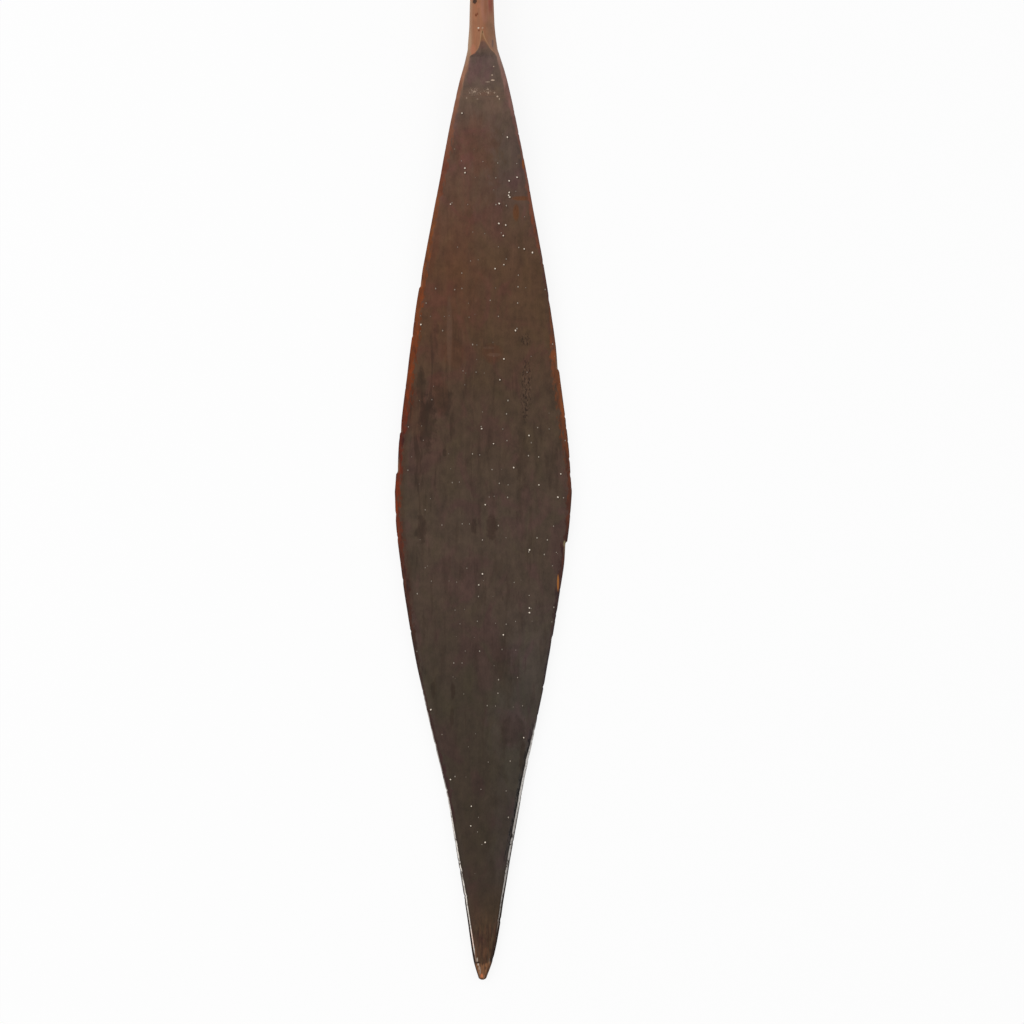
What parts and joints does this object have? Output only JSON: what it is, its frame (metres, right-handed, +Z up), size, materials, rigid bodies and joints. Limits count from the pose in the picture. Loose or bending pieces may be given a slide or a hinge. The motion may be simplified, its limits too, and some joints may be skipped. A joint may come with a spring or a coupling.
{
  "type": "maori paddle",
  "caption": "Carved wooden Maori canoe paddle (hoe) with a long leaf-shaped blade, a slim oval shaft and a plain swollen butt.",
  "frame": {"origin": "the middle of the whole length, on the surface that the paddle lies on", "axes": "+X along the paddle toward the tip of the blade, +Y across it, +Z up out of the flat face of the blade"},
  "size_m": [1.74, 0.152, 0.0387],
  "materials": {
    "timber": "old oiled timber in low satin: dark brown patina on the blade, paler rubbed wood on the shaft, rim and tip"
  },
  "bodies": {
    "root": {"blade": "timber", "shaft": "timber", "butt": "timber"}
  },
  "joints": []
}
